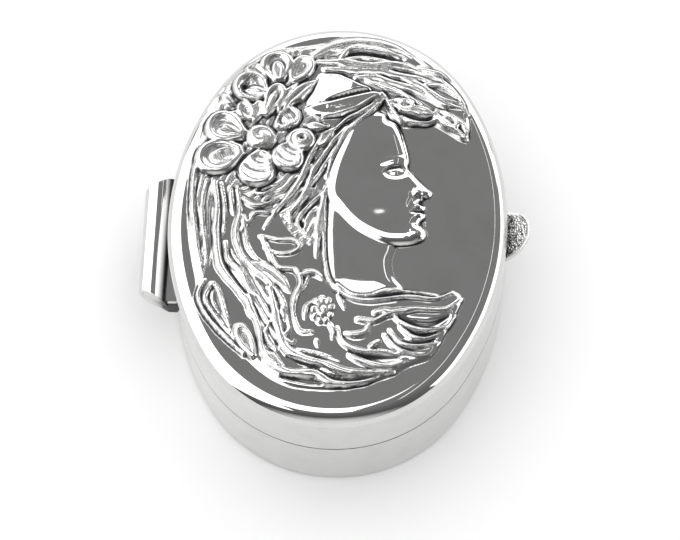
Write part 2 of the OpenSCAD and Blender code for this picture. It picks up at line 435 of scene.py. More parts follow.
def beside(curve, area):
    """For each cell: how far it is from the curve, on which side, and how far along."""
    x, y = PLAN_X[area], PLAN_Y[area]
    nearest = np.full(x.shape, np.inf)
    side, along = np.zeros(x.shape), np.zeros(x.shape)
    steps = np.diff(curve, axis=0)
    lengths = np.hypot(*steps.T) + 1e-9
    starts = np.concatenate([[0], np.cumsum(lengths)[:-1]])
    for (ax, ay), (dx, dy), length, start in zip(curve[:-1], steps, lengths, starts):
        k = np.clip(((x - ax) * dx + (y - ay) * dy) / length**2, 0, 1)
        ex, ey = x - ax - k * dx, y - ay - k * dy
        distance = ex * ex + ey * ey
        closer = distance < nearest
        nearest[closer] = distance[closer]
        side[closer] = np.sign(dx * ey - dy * ex)[closer]
        along[closer] = ((start + k * length) / lengths.sum())[closer]
    return np.sqrt(nearest), side, along


# %% [markdown]
# A lock of hair is a stroke: wide in its middle and drawn out to a tip, rounded across, and
# scored lengthwise into strands. A leaf is a lock with two sharp ends. A petal is a short broad
# stroke with a thick rolled lip and a dished middle, and a bud is a round one with a spiral cut.
# A furrow takes metal away, a hill swells softly, a mass is raised all over inside an outline, and
# a hatch dulls the plain ground inside one.

# %% The engraver's strokes
SLOW_WAVER, QUICK_WAVER = 0.11, 0.05


def swell(along, root, tip, fullest):
    """The width along a stroke, as shares of its greatest width."""
    opening = root + (1 - root) * np.sin(np.pi / 2 * np.clip(along / fullest, 0, 1))
    closing = tip + (1 - tip) * np.cos(np.pi / 2 * np.clip((along - fullest) / (1 - fullest), 0, 1))
    return np.where(along < fullest, opening, closing)


def say_height(what):
    print(what, "done, highest", round(float(relief.max()), 2), "mm")


def raise_to(area, height, groove=None):
    """Lifts the map to a stroke's height where the stroke is higher, and counts its grooves."""
    higher = height > relief[area]
    relief[area] = np.where(higher, height, relief[area])
    if groove is not None:
        grooves[area] = np.where(higher, groove, grooves[area])
        worked[area] = np.where(higher, 1, worked[area])


def lock(points, width, height, strands=1, root=0.6, tip=0.15, fullest=0.4, score=0.35, base=GROUND):
    """A lock of hair or a fold of cloth that runs through the points, with a hand's waver."""
    curve = flowing(points)
    area = window(curve, width)
    distance, side, along = beside(curve, area)
    way = along * np.hypot(*np.diff(curve, axis=0).T).sum()
    start = sum(points[0])
    waver = SLOW_WAVER * np.sin(1.6 * way + 5 * start) + QUICK_WAVER * np.sin(3.9 * way + 3 * start)
    half = width / 2 * swell(along, root, tip, fullest) * (1 + waver)
    across = side * distance / np.maximum(half, 1e-3) + 0.6 * waver
    body = np.sqrt(np.clip(1 - across**2, 0, 1))
    strand = np.abs(np.sin(np.pi / 2 * strands * (across + 1))) if strands > 1 else 1
    rise = height * swell(along, 0.75, 0.4, fullest) * body * (1 - score + score * strand)
    lines = max(1, round(width / 2 / GROOVE_PITCH))
    raise_to(area, np.where(np.abs(across) < 1, rise + base * np.sqrt(body), 0), 0.5 + lines * across)


def furrow(points, width, depth):
    """A cut that leaves a dark line."""
    curve = flowing(points)
    area = window(curve, width)
    distance, _, along = beside(curve, area)
    half = width / 2 * swell(along, 0.3, 0.2, 0.5)
    relief[area] -= depth * np.clip(1 - (distance / half) ** 2, 0, 1)


def turned_from(centre, turn, area):
    """How far each cell is from a centre, along and across a direction in degrees from +X."""
    angle = math.radians(turn)
    x, y = PLAN_X[area] - centre[0], PLAN_Y[area] - centre[1]
    return x * math.cos(angle) + y * math.sin(angle), y * math.cos(angle) - x * math.sin(angle)


def petal(
    root, turn, length, width, height, dish=0.4, ribs=0, rings=0, fullest=0.6, bend=0.0, base=GROUND
):
    """A round petal from its root, turned in degrees from +X. It may have ribs or rings."""
    area = window([root], length * 1.15 + width / 2)
    way, off = turned_from(root, turn, area)
    along = way / length
    off = off - bend * length * along**2
    half = width / 2 * (0.25 + 0.75 * np.sin(math.pi / 2 * np.clip(along / fullest, 0, 1)))
    past = np.clip((along - fullest) / (1 - fullest), 0, 2)
    across = np.hypot(off / half, past)
    edge = np.minimum((1 - across) * half, along * length)
    lip = 0.15 * width
    roll = np.sqrt(np.clip(1 - (1 - np.clip(edge / lip, 0, 1)) ** 2, 0, 1))
    hollow = np.clip((edge - 0.8 * lip) / (0.2 * width), 0, 1)
    rise = height * roll * (1 - dish * hollow**2 * (3 - 2 * hollow)) * (0.7 + 0.3 * np.clip(along, 0, 1))
    groove = 0.5 + (edge - 0.8 * lip) / GROOVE_PITCH
    if ribs:
        rise += 0.14 * height * np.cos(np.pi * ribs * off / half) * roll
        groove = 0.5 + off / half * round(width / 2 / GROOVE_PITCH)
    if rings:
        out = np.hypot(along, 0.45 * off / half)
        rise += 0.16 * height * np.cos(2 * np.pi * rings * out) * roll
        groove = 0.5 + out * length / GROOVE_PITCH
    groove = np.where(edge < 0.8 * lip, 0.5, groove)
    raise_to(area, np.where(edge > 0, rise + base * np.sqrt(roll), 0), groove)


LEAF_BOW = 0.06


def leaf(root, turn, length, width, height, base=GROUND):
    """A narrow leaf, pointed at both ends, with a groove down its middle."""
    angle = math.radians(turn)
    way = np.array((math.cos(angle), math.sin(angle)))
    aside = np.array((-way[1], way[0]))
    bow = LEAF_BOW * length
    spine = [
        np.array(root) + length * k * way + bow * math.sin(math.pi * k) * aside
        for k in (0, 0.35, 0.7, 1)
    ]
    lock(spine, width, height, 2, root=0.1, tip=0.05, fullest=0.5, score=0.5, base=base)


def bud(centre, radius, height, turns=1.0, start=0.0, cut=0.35, squash=1.0, lean=0.0, spiral=1):
    """A round bud with a spiral cut, or rings if spiral is 0. It is squashed to an oval, which leans
    in degrees."""
    area = window([centre], radius * 1.1)
    u, v = turned_from(centre, lean, area)
    u, v = u / radius, v / (radius * squash)
    out = np.hypot(u, v)
    body = np.sqrt(np.clip(1 - out**3, 0, 1))
    winding = turns * out**1.4 + spiral * np.arctan2(v, u) / (2 * np.pi) + start
    fold = np.abs(np.sin(np.pi * winding)) ** 0.7
    lines = 2 * max(1, round(radius / 2 / GROOVE_PITCH / turns))
    groove = np.where(out > 0.85, 0.5, 0.5 + (winding - turns) * lines)
    rise = height * body * (1 - cut + cut * fold) + GROUND * np.sqrt(body)
    raise_to(area, np.where(out < 1, rise, 0), groove)


def hill(centre, long, wide, lean, rise):
    """A soft swelling, or a hollow if rise is below zero."""
    area = window([centre], 1.1 * max(long, wide))
    u, v = turned_from(centre, lean, area)
    u, v = u / long, v / wide
    relief[area] += rise * np.clip(1 - u * u - v * v, 0, 1) ** 1.5


def enclosed(outline):
    """A closed curve through the points, the part of the map round it, and the cells inside it:
    those from which a line leaves the curve an odd number of times."""
    curve = flowing(outline, closed=True)
    area = window(curve, 0.1)
    x, y = PLAN_X[area], PLAN_Y[area]
    inside = np.zeros(x.shape, bool)
    for (ax, ay), (bx, by) in zip(curve[:-1], curve[1:]):
        crosses = (ay > y) != (by > y)
        inside ^= crosses & (x < ax + (y - ay) * (bx - ax) / (by - ay + 1e-12))
    return curve, area, inside


def mass(outline, height, rounding, rise_x=0.0, rise_y=0.0, highest=1.0):
    """A raised area inside a closed outline, with a rounded edge. It may slope: so much per mm."""
    curve, area, inside = enclosed(outline)
    x, y = PLAN_X[area], PLAN_Y[area]
    distance, _, _ = beside(curve, area)
    near = 1 - np.clip(distance / rounding, 0, 1)
    top = np.minimum(height + rise_x * (x - outline[0][0]) + rise_y * (y - outline[0][1]), highest)
    rounded = top * np.sqrt(1 - near**2)
    lifted = inside & (rounded > relief[area])
    raise_to(area, np.where(inside, rounded, 0))
    grooves[area] = np.where(lifted, 0.5, grooves[area])
    worked[area] = np.where(lifted, 0, worked[area])


def hatch(outline, turn, depth=0.03):
    """Fine cuts, turned in degrees, over the plain ground inside an outline, to dull it."""
    _, area, inside = enclosed(outline)
    x, y = PLAN_X[area], PLAN_Y[area]
    plain = inside & (worked[area] == 0)
    angle = math.radians(turn)
    way = x * math.sin(angle) - y * math.cos(angle) + 0.15 * np.sin(2.3 * x + 1.1 * y)
    grooves[area] = np.where(plain, 0.5 + way / GROOVE_PITCH, grooves[area])
    worked[area] = np.where(plain, 1, worked[area])
    relief[area] += np.where(plain, depth * np.sin(2 * np.pi * way / (3 * GROOVE_PITCH)), 0)


# %% [markdown]
# ### The head
#
# A head in profile, with flowers in its hair, looks right and a little up. Its features are laid
# out on the proportions that drawing books give, where the hairline, the brow, the base of the
# nose and the chin are a third of the face apart. A small local ruler, with down and forward
# measured in face heights, keeps every feature on those thirds.

# %% Masses
HAIRLINE = np.array((4.6, 8.9))
FACE_HEIGHT = 11.2
FACE_LEAN = math.radians(12)
FACE_DOWN = np.array((math.sin(FACE_LEAN), -math.cos(FACE_LEAN)))
FACE_FORWARD = np.array((-FACE_DOWN[1], FACE_DOWN[0]))


def on_face(down, forward):
    """A point of the face, in face heights down from the hairline and forward of it."""
    return tuple(HAIRLINE + FACE_HEIGHT * (down * FACE_DOWN + forward * FACE_FORWARD))


def face_line(*places):
    return [on_face(*place) for place in places]


mass([
    (-2.5, 15.9), (0, 16.5), (3, 16.3), (5.2, 15.6), (7, 14.2), (8.6, 12.9), (9.9, 11.3), (10.4, 9.8),
    (10.6, 8.2), (10.2, 7.3), (8.8, 8.1), (7.4, 8.8), (5.9, 8.5), (4.9, 8.6), (3.2, 9.4), (1.2, 8),
    (0, 5), (-0.9, 1), (-1, -3), (-0.3, -6.2), (1.6, -7.3), (4, -7.1), (7.6, -7), (9.6, -6.4),
    (10.3, -7.1), (9.6, -9), (8.7, -10.9), (8, -12.1), (6.2, -12.9), (4.8, -13.8), (2.2, -14.6),
    (0, -15.1), (-3, -14.9), (-5, -14), (-6.6, -12.7), (-8.2, -11.2), (-9.8, -9.3), (-11.1, -7.6),
    (-11.1, -6.2), (-11.6, -4), (-12.1, -1), (-12.3, 2), (-12.2, 4.5), (-11.7, 7), (-11, 9),
    (-10.2, 10.8), (-9.4, 12.6), (-8, 14), (-6.2, 15.2), (-4.3, 15.6),
], GROUND, 0.4)
mass([
    (3.2, 1.5), on_face(0.96, -0.19), (4.5, -3.8), (4.75, -5.2), (5.5, -6.6), (1.8, -7), (-0.4, -6.1),
    (-1, -3), (-1.1, 0.5), (-0.5, 4), (1.5, 4.5),
], 0.34, 2.2)
FACE_PROFILE = face_line(
    (-0.03, -0.06), (0.02, -0.005), (0.12, 0.02), (0.25, 0.03), (0.33, 0.03), (0.39, 0.01),
    (0.46, 0.04), (0.55, 0.095), (0.615, 0.14), (0.645, 0.135), (0.665, 0.085), (0.68, 0.045),
    (0.71, 0.055), (0.735, 0.075), (0.762, 0.04), (0.785, 0.06), (0.81, 0.058), (0.845, 0.02),
    (0.88, 0.025), (0.93, 0.04), (0.975, 0.025), (1, -0.03), (1.005, -0.12), (0.975, -0.26),
    (0.90, -0.38), (0.80, -0.48), (0.66, -0.56), (0.5, -0.62), (0.3, -0.56), (0.1, -0.45),
    (-0.06, -0.34), (-0.12, -0.16), (-0.08, -0.07),
)
mass(FACE_PROFILE, 0.62, 1.0)
say_height("masses")

# %% The features of the face
hill(on_face(0.60, -0.22), 2.6, 2.0, 20, 0.14)
hill(on_face(0.17, -0.10), 2.2, 1.6, -70, 0.06)
hill(on_face(0.93, -0.01), 0.9, 0.75, 0, 0.12)
hill(on_face(0.335, -0.09), 1.5, 0.55, 10, 0.10)
hill(on_face(0.425, -0.075), 1.25, 0.72, 8, -0.30)
hill(on_face(0.425, -0.085), 0.72, 0.46, 8, 0.24)
furrow(face_line((0.405, -0.015), (0.385, -0.075), (0.40, -0.15), (0.425, -0.185)), 0.20, 0.12)
furrow(face_line((0.445, -0.02), (0.452, -0.08), (0.435, -0.15)), 0.16, 0.08)
furrow(face_line((0.365, -0.02), (0.35, -0.09), (0.37, -0.18)), 0.18, 0.06)
hill(on_face(0.52, 0.03), 1.6, 0.5, -62, 0.10)
hill(on_face(0.62, 0.045), 0.5, 0.42, 0, 0.16)
furrow(face_line((0.60, 0.005), (0.635, -0.005), (0.66, 0.03)), 0.18, 0.12)
hill(on_face(0.658, 0.082), 0.24, 0.14, 10, -0.22)
furrow(face_line((0.65, -0.01), (0.70, -0.035), (0.75, -0.045)), 0.45, 0.05)
hill(on_face(0.727, 0.035), 0.62, 0.26, -25, 0.16)
hill(on_face(0.795, 0.025), 0.52, 0.28, 12, 0.18)
furrow(face_line((0.763, 0.055), (0.762, 0.01), (0.768, -0.04)), 0.20, 0.20)
hill(on_face(0.855, 0), 0.7, 0.28, 5, -0.10)
say_height("face")

# %% [markdown]
# ### Hair, blossoms and cloth
#
# The strokes go on in the engraver's order: the long locks first, then the ribbon and the strands
# over it, then the blossoms over everything. Since a stroke only ever raises the map to its own
# height, a later one lies over an earlier one where it is higher, and leaves it alone elsewhere.

# %% Hair over the crown
lock([(-2.6, 14.7), (-0.9, 15.7), (1.5, 16.1), (4, 15.8), (5.8, 14.9)], 1.5, 0.26, base=0.2)
lock([(-0.3, 14.7), (0.7, 15.6), (2.8, 15.45), (5.3, 14.8)], 0.75, 0.34)
lock([(0.1, 14.6), (1.6, 14.75), (3.4, 14.5), (5.2, 14.2)], 0.55, 0.26)
lock([
    (-2.2, 14.2), (-0.2, 14.2), (2.2, 13.9), (4.4, 14.1), (6.4, 13.5), (8.2, 13),
], 1.1, 0.34, 2, tip=0.3)
lock([(-1.6, 13.6), (0.6, 13.5), (2.6, 13.5), (4.8, 13.1), (6.4, 12.9), (8.2, 12.2)], 0.9, 0.32, 2)
lock([(5, 12.9), (6.6, 12.1), (7.9, 11), (9, 10.5), (10.3, 10.2)], 0.8, 0.34, 2)
lock([(1, 12.8), (2.6, 12.9), (4, 12.4), (5.8, 11.9), (7.4, 11), (8.6, 10.1)], 0.8, 0.34, 2)
lock([(6.8, 12.4), (8.2, 12.3), (9.3, 11.6), (10.2, 10.8)], 0.55, 0.28)
lock([(7.3, 11.9), (8.3, 11.1), (9.4, 10.8), (10.2, 10.6)], 0.5, 0.28)
lock([(6.2, 13.9), (7.3, 13.6), (8.2, 13.4), (9, 12.7)], 0.6, 0.28)
lock([(8, 13), (9, 12.2), (9.9, 11), (10.5, 9.6)], 0.4, 0.2)
lock([(1.9, 12.6), (3.4, 12.1), (4.8, 11.6), (5.8, 10.9)], 0.6, 0.3)
lock([(3.6, 11.9), (4.8, 11.5), (6.2, 10.7), (7.3, 10.1)], 0.5, 0.32)
lock([(3.5, 11.3), (3.9, 10.3), (4.7, 9.2), (5.2, 8.6)], 0.5, 0.4)
furrow([(0.3, 15.05), (1.4, 15.2), (3.2, 15), (4.9, 14.6)], 0.5, 0.3)
petal((3.8, 10.7), -14, 2.4, 1.3, 0.40, 0.45, rings=2, base=0.3)
leaf((4.7, 9.8), -5, 3.2, 1.3, 0.40, base=0.34)
petal((7.7, 10), -38, 2.6, 1.4, 0.42, 0.4, rings=2)
lock([(4.9, 9.3), (6, 8.8), (7.2, 8.8), (8, 9.4)], 0.5, 0.3)
lock([(7.7, 9.3), (8.8, 8.7), (9.7, 8.1), (10.4, 7.4)], 0.55, 0.40, tip=0.4)
lock([(8.9, 9.7), (9.8, 9), (10.3, 8.2), (10.5, 7.4)], 0.4, 0.32)
say_height("crown")

# %% The ribbon and the strands that cross it
mass([
    (-2.1, 13.1), (-0.6, 13.15), (0.4, 12.7), (1.3, 12.2), (2.5, 11.6), (1, 11.25), (-0.6, 10.8),
    (-2, 10.2), (-3, 10.1), (-3, 11), (-2.5, 12.2),
], 0.30, 0.2, rise_x=0.215, rise_y=-0.05, highest=0.98)
mass([
    (-3, 10), (-0.6, 10.75), (1, 11.2), (2.7, 11.5), (3.2, 10.9), (1.2, 9.7), (-0.6, 9),
    (-2.4, 9.2),
], 0.42, 0.3, rise_x=0.09, rise_y=0.0)
lock([(3.3, 11.4), (1.6, 10.1), (0, 9.5), (-1.6, 9)], 0.5, 0.3, 2, base=0.55)
lock([(3.2, 11), (2.2, 10.6), (0.6, 10.1), (-1.2, 9.9)], 0.3, 0.2, base=0.62)
lock([(3.4, 11.2), (2, 9.7), (0.4, 8.8), (-0.8, 7.6)], 0.55, 0.34, 2, base=0.5)
lock([(3.6, 11.1), (2.5, 9.6), (1.3, 8.6), (0.4, 7.4)], 0.4, 0.34, base=0.5)
lock([(3.3, 11.3), (1.9, 11), (0.9, 10.55)], 0.3, 0.18, base=0.7)
lock([(1.8, 9.4), (0.4, 7.6), (-0.5, 5.6), (-1.1, 3.4)], 0.5, 0.40, 2, base=0.3)
lock([(0.5, 8.3), (-0.8, 6.4), (-2, 4.2), (-3, 1.7), (-4.3, -0.3)], 0.6, 0.36, 2)
lock([(-0.4, 6.4), (-1.3, 4.4), (-2.4, 2.6), (-3.5, 0.9)], 0.42, 0.34)
lock([(-1.6, 7.4), (-2.4, 5.4), (-3.3, 3.2), (-4.4, 1.3), (-5.4, -0.2)], 0.5, 0.34, 2)
lock([(-2.3, 4.6), (-3.6, 2.3), (-4.9, 0.5), (-6, -1.4)], 0.45, 0.30)
lock([(-1, 2.6), (-1.3, 0.6), (-1.45, -1.4), (-1.6, -3.8)], 0.85, 0.30, 2, root=0.3)
lock([(-1.3, 2.1), (-2.3, 0.9), (-3.2, -0.5), (-2.6, -1.7), (-1.9, -2.2)], 0.4, 0.30)
lock([(-2.2, 2.4), (-3, 1.2), (-3.9, 0.1), (-3.6, -1.2)], 0.4, 0.28)
furrow([(-3, -0.5), (-2.8, -1.2)], 0.6, 0.25)
say_height("ribbon")

# %% The falling hair on the left
lock([(-11.7, 5.4), (-12, 2.6), (-11.8, 0), (-11.4, -2.6), (-10.7, -5.7)], 0.55, 0.26)
lock([(-10.8, 3.1), (-11.1, 1), (-10.9, -1.4), (-10.5, -3.8), (-10.7, -5.6)], 0.4, 0.24)
lock([(-11.3, 3.4), (-11.5, 1.4), (-11.2, -0.6), (-10.9, -2.4)], 0.28, 0.18)
lock([
    (-10.2, 2.9), (-9.85, 0.4), (-9.85, -1.8), (-9.4, -4.5), (-8.2, -6.3), (-6.9, -7.9), (-6, -9.8),
    (-5.6, -11.6), (-4.9, -13.3),
], 0.68, 0.34, tip=0.5)
lock([(-9.7, 2.7), (-9.3, 0.8), (-9.2, -0.8), (-9.3, -2.2)], 0.4, 0.28)
lock([(-8.9, 2.5), (-8.7, 1), (-8.5, -0.2)], 0.4, 0.26)
lock([
    (-8.3, 2.4), (-8, 0.1), (-8.2, -1.9), (-7.7, -3.6), (-6.5, -4.9), (-5.1, -6.2), (-4, -7.8),
    (-3.4, -10),
], 0.5, 0.32, 2, tip=0.4)
lock([(-9, -2.6), (-8.7, -4.2), (-7.6, -5.2), (-7, -6.4), (-6.2, -7.3)], 0.5, 0.26, tip=0.4)
lock([(-7.4, -1.2), (-7.2, -2.8), (-6.5, -3.9), (-5.6, -4.4)], 0.35, 0.22)
lock([(-7.9, 1.4), (-6.9, 0.8), (-5.7, 1), (-4.8, 1.7)], 0.42, 0.28)
lock([(-7.2, -0.8), (-6.7, 0.1), (-5.5, 0.2), (-4.6, 0.9)], 0.36, 0.26)
lock([(-7.7, -0.2), (-7.6, -1), (-7.9, -1.7)], 0.8, 0.26, root=0.4)
lock([(-7, 1.9), (-6, 1.9), (-5, 2.6)], 0.34, 0.26)
lock([
    (-6.2, -2), (-4.8, -2.3), (-3.5, -2.3), (-2.9, -2.8), (-3.6, -3.4), (-4.8, -3.5), (-5.8, -3),
], 0.34, 0.28, tip=0.6)
lock([
    (-6, -2.1), (-5.3, -3.6), (-4.6, -4.7), (-3.2, -5), (-2.7, -6.1), (-3.1, -7.4), (-3.2, -8.7),
    (-2.6, -10.2), (-1.6, -10.3),
], 0.42, 0.30, tip=0.7)
lock([(-2.9, -5.4), (-2.2, -5.2), (-1.6, -5.2), (-1, -5.6)], 0.65, 0.24, root=0.4, tip=0.5)
leaf((-6.8, -4.3), -38, 4.2, 1.5, 0.30)
lock([(-2.1, -5.6), (-2.5, -6.6), (-2.9, -7.3)], 0.3, 0.22)
say_height("falling hair")

# %% The long locks that sweep under the bust
lock([(-10.5, -6), (-11, -7.3), (-10.3, -9), (-8.6, -10.9), (-7, -12.4)], 0.36, 0.30, tip=0.5)
lock([(-9.9, -6.3), (-10.4, -7.6), (-9.6, -9), (-8.4, -10.4)], 0.42, 0.32)
lock([(-9.8, -6.3), (-9.3, -7), (-8.8, -8.6), (-8.2, -10.3)], 0.42, 0.30)
lock([(-9.8, -7), (-9.7, -8), (-9, -9.2)], 0.26, 0.2)
petal((-6.1, -12.7), 118, 3.3, 1.4, 0.36, 0.5)
lock([(-7, -7.2), (-6.6, -8.6), (-6, -9.6)], 0.7, 0.3, root=0.3)
lock([
    (-5.2, -6.6), (-4.7, -8.4), (-4.3, -10.2), (-3.7, -11.7), (-2.3, -12.6), (-0.4, -13.1),
    (1.6, -13.7), (5, -13.5),
], 0.85, 0.34, tip=0.35)
lock([(-4.1, -8.2), (-3.9, -9.4)], 0.55, 0.22, root=0.3)
lock([(-3.4, -10.2), (-3.8, -10.8), (-3.2, -11.4), (-2.8, -10.9)], 0.34, 0.22)
lock([(-4.9, -9.2), (-5.3, -10.4), (-4.9, -11.5), (-3.9, -11.8)], 0.24, 0.2)
lock([
    (-5.5, -12.2), (-4.6, -13.2), (-3.2, -13.9), (-1.2, -13.9), (0.2, -14.7), (2.2, -14.5),
    (4.6, -13.7),
], 0.75, 0.32, 2, tip=0.3)
lock([(-5.3, -12.1), (-4.6, -12.9), (-3.7, -13.4)], 1.2, 0.3, root=0.3)
lock([(-2.9, -11.9), (-1.2, -12.2), (0.7, -12.7)], 0.3, 0.22)
lock([(-1.2, -10.9), (-1.1, -11.6)], 0.34, 0.16, root=0.3)
furrow([(-4, -14.2), (-2.4, -14.5), (-0.6, -14.8)], 0.55, 0.22)
furrow([(-0.9, -13.6), (0.4, -14.2), (2, -14.35), (4.6, -13.75)], 0.42, 0.26)
furrow([(-3.6, -12.5), (-2, -13.1), (-0.8, -13.4)], 0.36, 0.2)

# %% Neckline and cloth
lock([
    (-1, 0.5), (-1, -2), (-0.8, -4.3), (-0.2, -6.1), (1.6, -7.3), (3.6, -7.35), (6, -7),
    (8.2, -7.1), (9.6, -6.5),
], 0.45, 0.30, root=0.4, tip=0.7, fullest=0.75)
lock([(0.2, -6.1), (1.4, -6.9), (2.8, -7), (4.4, -6.5), (6.4, -6.55), (8.8, -6.8)], 0.24, 0.24)
lock([(0.3, -6.9), (0.8, -7.9), (0.9, -8.3)], 0.3, 0.22, root=0.4)
lock([
    (2, -9.1), (3.4, -9.2), (4.6, -8.5), (6.6, -8.1), (9, -8), (10.3, -7),
], 0.6, 0.30, tip=0.3)
lock([(3.3, -8.5), (4.2, -8.3), (5.4, -8.4)], 0.5, 0.26)
lock([(5, -8.8), (6.2, -9.6), (7.6, -9.9), (9, -9.6), (9.9, -8.4)], 0.45, 0.34)
lock([(5.4, -9.6), (6.4, -10.4), (7.6, -10.6), (8.8, -10)], 0.4, 0.30)
lock([(4.6, -10), (5.4, -11), (6.8, -11.3), (8.7, -10.9)], 0.45, 0.32)
lock([(4.2, -10.4), (5.2, -11.5), (6.6, -12), (8, -11.9)], 0.4, 0.28)
lock([(0.4, -9.9), (0.9, -11.1), (2.2, -11.8), (4, -11.9), (5.8, -12)], 0.45, 0.32, tip=0.4)
lock([(1.5, -12.2), (3, -12.9), (4.6, -13.1), (6.1, -12.6)], 0.7, 0.30)
lock([(1, -10.4), (1.9, -10.5), (2.7, -10.2), (3, -9.5)], 0.7, 0.24, root=0.4, tip=0.5)
lock([(3, -11.6), (3.6, -11.1), (4, -10.9)], 0.4, 0.24)
furrow([(5.3, -8.9), (6.6, -9.2), (8, -9.2), (9.4, -8.5)], 0.75, 0.28)
furrow([(6.2, -10.2), (7.4, -10.3), (8.6, -9.9)], 0.36, 0.22)
furrow([(5.6, -10.9), (6.8, -11), (8.4, -10.6)], 0.3, 0.2)
furrow([(1.4, -11.9), (3.2, -12.3), (5.6, -12.3)], 0.36, 0.28)
say_height("locks and cloth")

# %% The upper blossom
petal((-6.5, 11.6), 122, 2.8, 1.8, 0.42, 0.35, rings=1.5)
petal((-5.3, 12.2), 101, 3.0, 3.0, 0.50, 0.55)
petal((-4.4, 12.2), 58, 3.0, 2.1, 0.48, 0.35)
petal((-5.3, 12.3), 100, 1.9, 1.1, 0.56, 0.2)
petal((-6.2, 10.9), 152, 3.3, 3.0, 0.62, 0.6, rings=1.2, fullest=0.5)
petal((-6, 10.9), 160, 2.3, 1.0, 0.62, 0.2, ribs=1, bend=0.1)
leaf((-4.9, 9.3), 50, 4.2, 1.5, 0.56, base=0.3)
leaf((-5.4, 9.3), 60, 3.4, 1.0, 0.52, base=0.3)
petal((-6.4, 8.9), 68, 3.4, 1.8, 0.62, 0.35, fullest=0.68)
petal((-6.3, 9.2), 70, 2.2, 0.7, 0.60, 0.1, ribs=1)
leaf((-8.9, 10), 138, 1.7, 0.9, 0.34)
petal((-7.5, 8.6), 120, 2.0, 1.5, 0.44, 0.4, rings=1.5)
petal((-7.3, 8.4), 75, 2.1, 1.2, 0.46, 0.35)
petal((-7.9, 8.7), 165, 1.6, 1.0, 0.40, 0.3, ribs=1)
hill((-7.95, 11.55), 0.75, 0.5, -20, -0.45)
furrow([(-8.6, 11.2), (-7.6, 11.1), (-6.9, 10.9)], 0.2, 0.2)

# %% The lower blossom and the leaves round it
petal((-7.8, 7.1), 159, 3.7, 3.2, 0.56, 0.5)
petal((-7.9, 7.1), 172, 2.5, 1.0, 0.50, 0.1, ribs=1)
petal((-8, 6.9), 150, 2.2, 0.9, 0.50, 0.1, ribs=1)
petal((-7.9, 5.9), 199, 4.3, 3.4, 0.56, 0.55, fullest=0.55)
petal((-7.9, 5.8), 200, 3.2, 1.6, 0.44, 0.15, rings=1.5)
petal((-6.3, 5.9), 256, 3.6, 3.3, 0.58, 0.25, rings=2.5)
petal((-5.5, 7.9), 42, 2.6, 2.0, 0.52, 0.45, rings=2)
bud((-6.6, 7), 1.35, 0.62, 0.9, start=0.4, cut=0.3, squash=0.9, lean=-25)
petal((-3.6, 6.6), 243, 2.9, 2.9, 0.56, 0.2, rings=2.2, fullest=0.5)
bud((-3.3, 6.85), 1.3, 0.66, 1.1, start=0.5, cut=0.35, squash=0.88, lean=10, spiral=0)
leaf((-1, 8.2), 178, 2.1, 0.95, 0.46)
leaf((-0.6, 8.1), 232, 2.4, 1.2, 0.44)
hill((-3.2, 6.9), 0.5, 0.34, 15, -0.3)
say_height("blossoms")

# %% The brooch: a bead in a ring of small ones, with a tassel
BROOCH = (-0.85, -8.4)
for k in range(9):
    turn = math.radians(40 * k + 15)
    size = 0.30 + 0.07 * math.sin(3.1 * k)
    bead = (BROOCH[0] + 0.72 * math.cos(turn), BROOCH[1] + 0.95 * math.sin(turn))
    bud(bead, size, 0.30, 0.7, start=0.17 * k, cut=0.4)
bud(BROOCH, 0.62, 0.30, 1.2, start=0.3, cut=0.5, squash=1.3)
lock([(-1.5, -7.6), (-2.1, -8.2), (-2.3, -9.2)], 0.4, 0.28, root=0.4)
lock([(-0.3, -9.4), (0.1, -10.2), (0, -10.9)], 0.4, 0.24, 2, root=0.4)
say_height("brooch")

# %% Hatching on the ground between the strokes
hatch([
    (-11.6, 9.4), (-10.6, 4), (-8.6, 2.8), (-5.4, 3.4), (-3.2, 4.6), (-1.6, 6.6), (-1.4, 8.6),
    (-2.9, 9.4), (-3.2, 11.6), (-2.2, 13.6), (-1.2, 14.6), (-4.2, 15.6), (-7.6, 14.4), (-9.8, 11.6),
], 60)
hatch([(-9.2, 2.9), (-4.4, 3.6), (-2.2, 5.4), (-2.4, 3.2), (-4.4, 0.6), (-7.2, 1.6)], 40, 0.06)
hatch([
    (-9, -2.9), (-7.3, -4.9), (-5.2, -7.4), (-4.3, -10.4), (-4.6, -12.4), (-5.6, -11.2),
    (-6.4, -8.8), (-8.4, -5.9),
], -58, 0.08)
hatch([
    (-11.6, 3.2), (-10.4, 3.2), (-10.1, -1.5), (-10.2, -4.6), (-11, -4.2), (-11.5, -0.6),
], 88, 0.05)
hatch([(-5.4, 3.4), (-2.4, 3.4), (-1.4, 1), (-2, -2.6), (-4.4, -0.6)], 55, 0.05)
print("worked metal covers", round(100 * float(worked.mean())), "percent of the map")


# %% [markdown]
# ### From the map to the sheet
#
# A press can't form a knife edge, and polishing rounds what is left, so the map is blurred a
# little. Where the map lies lower than its surroundings, the metal is painted dark: painted shade
# in the hollows, with the patina that polishing mops leave there. That difference is kept as an
# attribute, and the finish reads it.

# %% Softening, and painted shade in the hollows
def blurred(field, radius):
    reach = max(1, round(3 * radius / CELL))
    weights = np.exp(-0.5 * (np.arange(-reach, reach + 1) * CELL / radius) ** 2)
    weights /= weights.sum()
    for axis in (0, 1):
        padding = [(reach, reach) if axis == a else (0, 0) for a in (0, 1)]
        padded = np.pad(field, padding, mode="edge")
        size = field.shape[axis]
        field = sum(w * np.take(padded, range(k, k + size), axis=axis) for k, w in enumerate(weights))
    return field


DEEPEST = -0.05
EDGE_BLUR = 0.065
HOLLOW_REACH = 0.14
DARKEST_DROP = 0.065
WORKED_BLUR = 0.1

relief = blurred(np.maximum(relief, DEEPEST), EDGE_BLUR)
# Painted shade and patina: how far each place lies below its blurred surroundings, up to the darkest
# drop.
recess = np.clip((blurred(relief, HOLLOW_REACH) - relief) / DARKEST_DROP, 0, 1)
worked = blurred(worked, WORKED_BLUR)
print("relief from", round(float(relief.min()), 2), "to", round(float(relief.max()), 2), "mm")

